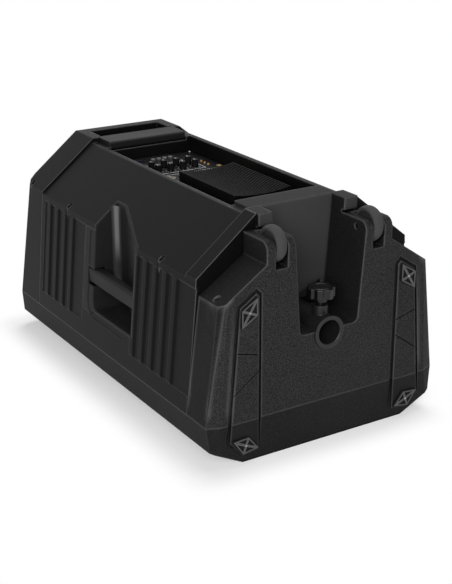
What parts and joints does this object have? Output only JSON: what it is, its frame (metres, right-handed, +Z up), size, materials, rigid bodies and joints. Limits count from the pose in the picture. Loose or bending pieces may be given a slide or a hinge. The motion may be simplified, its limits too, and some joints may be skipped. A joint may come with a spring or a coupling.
{
  "type": "portable powered loudspeaker",
  "caption": "Portable powered two-way loudspeaker in a moulded trapezoid cabinet, with grips, wheels, feet, a pole socket with clamp, and a rear amplifier panel, lying on its grille.",
  "frame": {"origin": "middle of the footprint on the floor, with the loudspeaker lying on its grille", "axes": "+X across the width, +Y from the bottom end with the feet and wheels to the top end with the handle, +Z up, out of the rear"},
  "size_m": [0.398, 0.652, 0.34],
  "materials": {
    "shell_plastic": "moulded black plastic with a fine pebble grain",
    "front_plastic": "moulded black plastic, smooth satin",
    "handle_plastic": "moulded black plastic, satin",
    "grille_steel": "black powder-coated perforated sheet",
    "black_steel": "black oxide screws",
    "panel_steel": "plated screws",
    "wheel_plastic": "dark moulded hub",
    "grey_tyre": "grey soft tyre",
    "axle_steel": "plain steel pin",
    "grey_rubber": "grey rubber with a crossed relief",
    "socket_plastic": "black glass-filled plastic",
    "brass": "plain brass",
    "knob_plastic": "black moulded knob, satin",
    "pad_rubber": "black rubber",
    "amp_paint": "black painted sheet",
    "black_aluminium": "black anodised aluminium",
    "cast_metal": "cast and pressed metal",
    "magnet_iron": "ferrite and steel",
    "board": "green circuit board",
    "socket_black": "black moulded plastic",
    "button_plastic": "grey push button",
    "window_glass": "tinted display window",
    "paper": "black paper cone",
    "cloth": "woven and felted cloth",
    "copper": "wound copper wire"
  },
  "bodies": {
    "cabinet": {"rear_shell": "shell_plastic", "bottom_end": "shell_plastic", "top_end": "shell_plastic", "panel_ledge": "shell_plastic", "side_cup_l": "shell_plastic", "side_cup_r": "shell_plastic", "front_baffle": "front_plastic", "top_handle_bar": "handle_plastic", "side_grips": "handle_plastic", "front_grille": "grille_steel", "shell_screws": "black_steel", "woofer_screws": "black_steel", "panel_screws": "panel_steel", "wheel_axles": "axle_steel", "rubber_feet": "grey_rubber", "pole_socket": "socket_plastic", "port_tubes": "socket_plastic", "horn_flare": "socket_plastic", "clamp_insert": "brass", "phono_jacks": "brass", "panel_gasket": "pad_rubber", "woofer_surround": "pad_rubber", "amp_panel": "amp_paint", "heat_sink": "black_aluminium", "pot_block": "cast_metal", "power_supply": "cast_metal", "woofer_basket": "cast_metal", "compression_driver": "cast_metal", "woofer_magnet": "magnet_iron", "amp_board": "board", "crossover_board": "board", "input_jacks": "socket_black", "power_inlet": "socket_black", "switch_frame": "socket_black", "media_plate": "socket_black", "display_window": "window_glass", "woofer_spider": "cloth", "damping_pad": "cloth"},
    "wheel_left": {"wheel_hub_l": "wheel_plastic", "wheel_tyre_l": "grey_tyre"},
    "wheel_right": {"wheel_hub_r": "wheel_plastic", "wheel_tyre_r": "grey_tyre"},
    "pad_body": {"clamp_pad": "pad_rubber"},
    "screw_body": {"clamp_screw": "knob_plastic"},
    "rocker_body": {"power_rocker": "socket_black"},
    "cone_body": {"woofer_cone": "paper", "voice_coil": "copper", "dust_cap": "paper"},
    "knob_body_1": {"knob_1": "knob_plastic"},
    "knob_body_2": {"knob_2": "knob_plastic"},
    "knob_body_3": {"knob_3": "knob_plastic"},
    "knob_body_4": {"knob_4": "knob_plastic"},
    "knob_body_5": {"knob_5": "knob_plastic"},
    "knob_body_6": {"knob_6": "knob_plastic"},
    "knob_body_7": {"knob_7": "knob_plastic"},
    "knob_body_8": {"knob_8": "knob_plastic"},
    "button_body_1": {"media_button_1": "button_plastic"},
    "button_body_2": {"media_button_2": "button_plastic"},
    "button_body_3": {"media_button_3": "button_plastic"},
    "button_body_4": {"media_button_4": "button_plastic"}
  },
  "joints": [
    {"name": "wheel_left_spin", "type": "hinge", "parent": "cabinet", "child": "wheel_left", "pos_m": [-0.082, -0.297, 0.307], "axis": [1, 0, 0], "continuous": true},
    {"name": "wheel_right_spin", "type": "hinge", "parent": "cabinet", "child": "wheel_right", "pos_m": [0.082, -0.297, 0.307], "axis": [1, 0, 0], "continuous": true},
    {"name": "pad_slide", "type": "slide", "parent": "cabinet", "child": "pad_body", "axis": [0, 0, -1], "range_m": [0, 0.004]},
    {"name": "clamp_turn", "type": "hinge", "parent": "pad_body", "child": "screw_body", "pos_m": [0, -0.298, 0.215], "axis": [0, 0, -1], "range_deg": [0, 1152]},
    {"name": "knob_1_turn", "type": "hinge", "parent": "cabinet", "child": "knob_body_1", "pos_m": [-0.0345, 0.128, 0.312], "axis": [0, 0, -1], "range_deg": [-150, 150]},
    {"name": "knob_2_turn", "type": "hinge", "parent": "cabinet", "child": "knob_body_2", "pos_m": [-0.0115, 0.128, 0.312], "axis": [0, 0, -1], "range_deg": [-150, 150]},
    {"name": "knob_3_turn", "type": "hinge", "parent": "cabinet", "child": "knob_body_3", "pos_m": [0.0115, 0.128, 0.312], "axis": [0, 0, -1], "range_deg": [-150, 150]},
    {"name": "knob_4_turn", "type": "hinge", "parent": "cabinet", "child": "knob_body_4", "pos_m": [0.0345, 0.128, 0.312], "axis": [0, 0, -1], "range_deg": [-150, 150]},
    {"name": "knob_5_turn", "type": "hinge", "parent": "cabinet", "child": "knob_body_5", "pos_m": [-0.0345, 0.105, 0.312], "axis": [0, 0, -1], "range_deg": [-150, 150]},
    {"name": "knob_6_turn", "type": "hinge", "parent": "cabinet", "child": "knob_body_6", "pos_m": [-0.0115, 0.105, 0.312], "axis": [0, 0, -1], "range_deg": [-150, 150]},
    {"name": "knob_7_turn", "type": "hinge", "parent": "cabinet", "child": "knob_body_7", "pos_m": [0.0115, 0.105, 0.312], "axis": [0, 0, -1], "range_deg": [-150, 150]},
    {"name": "knob_8_turn", "type": "hinge", "parent": "cabinet", "child": "knob_body_8", "pos_m": [0.0345, 0.105, 0.312], "axis": [0, 0, -1], "range_deg": [-150, 150]},
    {"name": "media_button_1_press", "type": "slide", "parent": "cabinet", "child": "button_body_1", "axis": [0, 0, -1], "range_m": [0, 0.0008], "stiffness_N_per_m": 400},
    {"name": "media_button_2_press", "type": "slide", "parent": "cabinet", "child": "button_body_2", "axis": [0, 0, -1], "range_m": [0, 0.0008], "stiffness_N_per_m": 400},
    {"name": "media_button_3_press", "type": "slide", "parent": "cabinet", "child": "button_body_3", "axis": [0, 0, -1], "range_m": [0, 0.0008], "stiffness_N_per_m": 400},
    {"name": "media_button_4_press", "type": "slide", "parent": "cabinet", "child": "button_body_4", "axis": [0, 0, -1], "range_m": [0, 0.0008], "stiffness_N_per_m": 400},
    {"name": "rocker_tip", "type": "hinge", "parent": "cabinet", "child": "rocker_body", "pos_m": [-0.063, -0.095, 0.302], "axis": [1, 0, 0], "range_deg": [-18, 0]},
    {"name": "cone_stroke", "type": "slide", "parent": "cabinet", "child": "cone_body", "axis": [0, 0, 1], "range_m": [-0.005, 0.005], "stiffness_N_per_m": 3000}
  ],
  "couplings": [
    {"joint": "clamp_turn", "follows": "pad_slide", "rad_per_m": 5026.5}
  ]
}
